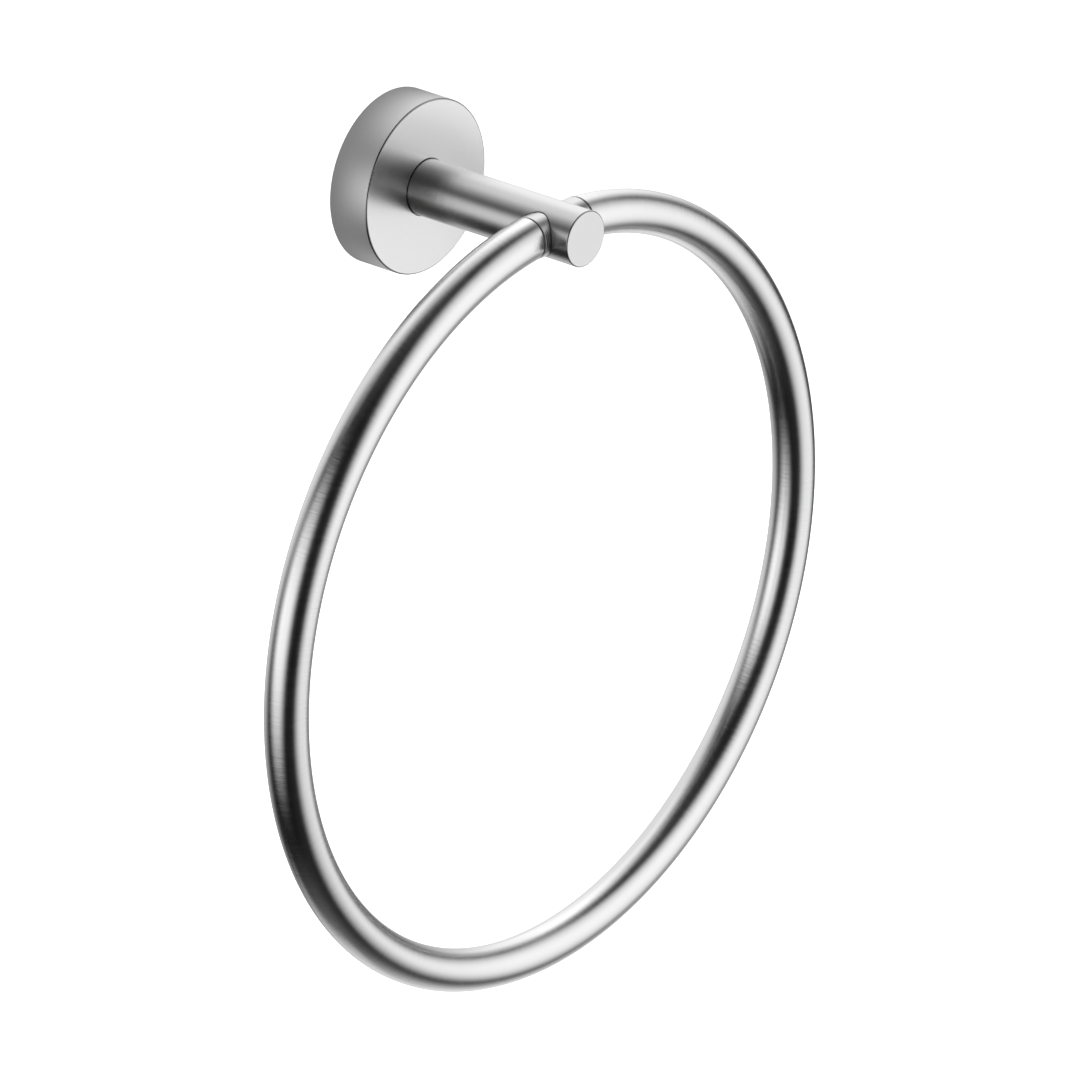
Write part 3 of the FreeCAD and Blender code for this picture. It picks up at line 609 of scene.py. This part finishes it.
# ---------------------------------------------------------------- the studio
# A light tent: a dome 1.3 m round the object, with soft patches of light on it. It is not seen by
# the camera. Each patch: azimuth and elevation of its middle, half width and half height, how far
# its edges fade each side, all in degrees, and its brightness. Azimuth 0 is the room's side (-Y)
# and +90 is the right (+X).
TENT_R, TENT_AT = 1.3, (0.0, -0.05, -0.09)
PATCHES = [
    (151.1, 20.0, 48.9, 48.0, 20.4, 25.6, 1.141),
    (110.7, -52.5, 46.7, 12.6, 37.8, 33.5, 1.906),
    (-150.1, 48.0, 2.8, 45.3, 13.6, 17.3, 0.284),
    (-0.0, 67.5, 190.0, 26.1, 5.0, 17.4, 0.381),
    (-0.0, -90.0, 190.0, 17.8, 5.0, 20.6, 0.186),
    (113.4, 26.5, 24.0, 24.9, 27.5, 12.0, 0.760),
    (103.3, 1.3, 21.2, 32.4, 3.7, 5.8, -0.301),
    (-127.2, 4.4, 15.1, 17.2, 8.9, 11.6, 0.533),
    (-189.1, -73.5, 29.8, 21.3, 20.1, 2.6, 0.482),
    (44.6, 63.3, 31.5, 19.0, 10.7, 9.4, -0.355),
    (-3.4, -41.7, 44.1, 20.6, 13.6, 11.5, 0.014),
    (-53.1, 60.2, 66.8, 26.3, 15.5, 13.3, -0.349),
    (140.1, -18.2, 17.6, 5.6, 11.8, 10.2, 0.257),
    (75.7, -50.7, 27.4, 12.2, 14.5, 12.2, -0.535),
    (-157.0, 20.0, 10.7, 16.8, 9.2, 10.0, 0.242),
    (109.5, -17.1, 11.7, 11.1, 8.9, 8.9, -0.129),
    (145.5, -32.1, 10.5, 8.9, 9.1, 8.5, -0.241),
]
TENT_BASE = 0.0
# every level below and above is times this, for a steel that gives back about eight tenths of the light
LIGHT = 0.783
AMBIENT = 0.0033
WALL_R, WALL_FADE, WALL_LEVEL, WALL_RISE, WALL_BEND = 0.042, 0.016, 0.212, -0.011, 0.380
# Two softboxes inside the tent, one on the left and one in front on the right: azimuth and elevation
# of the middle, its distance, half width and half height, how far the edges fade each side (metres),
# brightness, and how far the box is turned from facing the object, in degrees.
SOFTBOXES = [
    ("softbox_left", -97.62, 0.75, 1.40, 0.68, 0.78, 0.53, 0.69, 1.51, -0.85, -2.51),
    ("softbox_right", 37.66, 1.56, 1.02, 0.83, 0.88, 0.56, 0.78, 1.51, -7.59, 2.75),
]


def facing(az, el):
    """The way out from the middle of the tent at an azimuth and elevation, and level and upright square to it."""
    a, e = math.radians(az), math.radians(el)
    out = Vector((math.sin(a) * math.cos(e), -math.cos(a) * math.cos(e), math.sin(e)))
    level = Vector((math.cos(a), math.sin(a), 0.0))
    return out, level, out.cross(level)


def softbox(name, az, el, far, wide, high, fade_w, fade_h, level, turn, tip):
    """A soft-edged luminous card. It adds its light to what is behind it, and the camera doesn't see it."""
    m = bpy.data.materials.new(name + "_light")
    t = Tree(m)
    s = t.node("ShaderNodeSeparateXYZ", {0: t.node("ShaderNodeTexCoord").outputs["Object"]})
    u = t.ramp(t.math("ABSOLUTE", s.outputs[0]), wide + fade_w, max(wide - fade_w, -9.0), 0.0, 1.0, "SMOOTHSTEP")
    v = t.ramp(t.math("ABSOLUTE", s.outputs[1]), high + fade_h, max(high - fade_h, -9.0), 0.0, level * LIGHT, "SMOOTHSTEP")
    glow = t.node("ShaderNodeEmission", {"Color": (1.0, 1.0, 1.0, 1.0), "Strength": t.math("MULTIPLY", u, v)}).outputs[0]
    clear = t.node("ShaderNodeBsdfTransparent").outputs[0]
    t.out(t.node("ShaderNodeAddShader", {0: glow, 1: clear}).outputs[0])
    m.cycles.emission_sampling = "AUTO"
    w, h = wide + fade_w, high + fade_h
    mesh = bpy.data.meshes.new(name)
    mesh.from_pydata([(-w, -h, 0), (w, -h, 0), (w, h, 0), (-w, h, 0)], [], [(0, 1, 2, 3)])
    mesh.materials.append(m)
    place = Vector(TENT_AT) + facing(az, el)[0] * far
    out, side, up = facing(az + turn, el + tip)
    o = bpy.data.objects.new(name, mesh)
    # its own x runs along side, its own y along up, and its back along out
    o.matrix_world = Matrix.Translation(place) @ Matrix((side, up, side.cross(up))).transposed().to_4x4()
    scene.collection.objects.link(o)
    o.visible_camera = False
    o.visible_shadow = False


def tent():
    m = bpy.data.materials.new("tent_light")
    t = Tree(m)
    p = t.node("ShaderNodeVectorMath", {0: t.node("ShaderNodeTexCoord").outputs["Object"]}, operation="NORMALIZE").outputs[0]
    s = t.node("ShaderNodeSeparateXYZ", {0: p})
    az = t.math("DEGREES", t.math("ARCTAN2", s.outputs[0], t.math("MULTIPLY", s.outputs[1], -1.0)))
    el = t.math("DEGREES", t.math("ARCSINE", s.outputs[2]))
    total = None
    for a, e, wide, high, fade_a, fade_e, level in PATCHES:
        da = t.math("ABSOLUTE", t.math("WRAP", t.math("SUBTRACT", az, a), 180.0, -180.0))
        de = t.math("ABSOLUTE", t.math("SUBTRACT", el, e))
        u = t.ramp(da, wide + fade_a, wide - fade_a, 0.0, 1.0, "SMOOTHSTEP")
        v = t.ramp(de, high + fade_e, high - fade_e, 0.0, level * LIGHT, "SMOOTHSTEP")
        one = t.math("MULTIPLY", u, v)
        total = one if total is None else t.math("ADD", total, one)
    total = t.math("MAXIMUM", t.math("ADD", total, TENT_BASE), 0.0)
    glow = t.node("ShaderNodeEmission", {"Color": (1.0, 1.0, 1.0, 1.0), "Strength": total}).outputs[0]
    clear = t.node("ShaderNodeBsdfTransparent").outputs[0]
    t.out(t.node("ShaderNodeAddShader", {0: glow, 1: clear}).outputs[0])
    m.cycles.emission_sampling = "NONE"
    mesh = bpy.data.meshes.new("light_tent")
    rows, count = 48, 96
    points, faces = [(0, 0, -TENT_R), (0, 0, TENT_R)], []
    for i in range(1, rows):
        a = math.pi * i / rows - math.pi / 2
        for j in range(count):
            b = 2 * math.pi * j / count
            points.append((TENT_R * math.cos(a) * math.cos(b), TENT_R * math.cos(a) * math.sin(b), TENT_R * math.sin(a)))
    for j in range(count):
        k = (j + 1) % count
        faces.append((0, 2 + k, 2 + j))
        top = 2 + (rows - 2) * count
        faces.append((1, top + j, top + k))
        for i in range(rows - 2):
            low, high = 2 + i * count, 2 + (i + 1) * count
            faces.append((low + j, low + k, high + k, high + j))
    mesh.from_pydata(points, [], faces)
    mesh.materials.append(m)
    o = bpy.data.objects.new("light_tent", mesh)
    o.location = TENT_AT
    scene.collection.objects.link(o)
    o.visible_camera = False
    o.visible_shadow = False


def wall_patch():
    """A round of pale wall behind the flange. It is seen only in the metal's reflections and fades out at its edge."""
    m = bpy.data.materials.new("wall_patch_light")
    t = Tree(m)
    s = t.node("ShaderNodeSeparateXYZ", {0: t.node("ShaderNodeTexCoord").outputs["Object"]})
    x, z = s.outputs[0], s.outputs[2]
    out = t.math("SQRT", t.math("ADD", t.math("MULTIPLY", x, x), t.math("MULTIPLY", z, z)))
    seen = t.ramp(out, WALL_R + WALL_FADE, WALL_R - WALL_FADE, 0.0, 1.0, "SMOOTHSTEP")
    high = t.math("MAXIMUM", t.math("MINIMUM", t.math("MULTIPLY", z, 25.0), 1.2), -1.2)
    level = t.math("MULTIPLY_ADD", high, t.math("MULTIPLY_ADD", high, WALL_BEND * LIGHT, WALL_RISE * LIGHT), WALL_LEVEL * LIGHT)
    glow = t.node("ShaderNodeEmission", {"Color": (1.0, 1.0, 1.0, 1.0), "Strength": level}).outputs[0]
    clear = t.node("ShaderNodeBsdfTransparent").outputs[0]
    t.out(t.node("ShaderNodeMixShader", {0: seen, 1: clear, 2: glow}).outputs[0])
    m.cycles.emission_sampling = "NONE"
    w, y = WALL_R + WALL_FADE + 0.002, 0.0005
    mesh = bpy.data.meshes.new("wall_patch")
    mesh.from_pydata([(-w, y, -w), (w, y, -w), (w, y, w), (-w, y, w)], [], [(0, 1, 2, 3)])
    mesh.materials.append(m)
    o = bpy.data.objects.new("wall_patch", mesh)
    scene.collection.objects.link(o)
    o.visible_camera = False
    o.visible_shadow = False


def floor():
    m = bpy.data.materials.new("pale_floor")
    t = Tree(m)
    grain = t.noise(t.node("ShaderNodeTexCoord").outputs["Object"], 3.0, 2.0, 0.5)
    matte = t.node("ShaderNodeBsdfPrincipled", {"Base Color": (0.9, 0.9, 0.9, 1.0), "Roughness": 0.9}).outputs[0]
    glow = t.node("ShaderNodeEmission", {"Color": (1.0, 1.0, 1.0, 1.0),
                                          "Strength": t.math("MULTIPLY_ADD", grain, 0.01, 0.995)}).outputs[0]
    both = t.node("ShaderNodeAddShader", {0: matte, 1: glow}).outputs[0]
    clear = t.node("ShaderNodeBsdfTransparent").outputs[0]
    under = t.node("ShaderNodeNewGeometry").outputs["Backfacing"]
    t.out(t.node("ShaderNodeMixShader", {0: under, 1: both, 2: clear}).outputs[0])
    m.cycles.emission_sampling = "NONE"
    mesh = bpy.data.meshes.new("floor")
    w, z = 9.0, -0.62
    mesh.from_pydata([(-w, -w, z), (w, -w, z), (w, w, z), (-w, w, z)], [], [(0, 1, 2, 3)])
    mesh.materials.append(m)
    o = bpy.data.objects.new("floor", mesh)
    scene.collection.objects.link(o)
    o.visible_glossy = False
    o.visible_diffuse = False


def surroundings():
    w = bpy.data.worlds.new("studio")
    scene.world = w
    t = Tree(w)
    seen = t.node("ShaderNodeLightPath").outputs["Is Camera Ray"]
    pale = t.node("ShaderNodeBackground", {"Color": (1.0, 1.0, 1.0, 1.0), "Strength": 1.0}).outputs[0]
    dark = t.node("ShaderNodeBackground", {"Color": (1.0, 1.0, 1.0, 1.0), "Strength": AMBIENT * LIGHT}).outputs[0]
    mixed = t.node("ShaderNodeMixShader", {0: seen, 1: dark, 2: pale}).outputs[0]
    t.tree.links.new(mixed, t.node("ShaderNodeOutputWorld").inputs["Surface"])


tent()
for box in SOFTBOXES:
    softbox(*box)
wall_patch()
floor()
surroundings()
scene.view_settings.view_transform = "Standard"
scene.view_settings.look = "None"
scene.view_settings.exposure = 0.0
scene.view_settings.gamma = 1.0
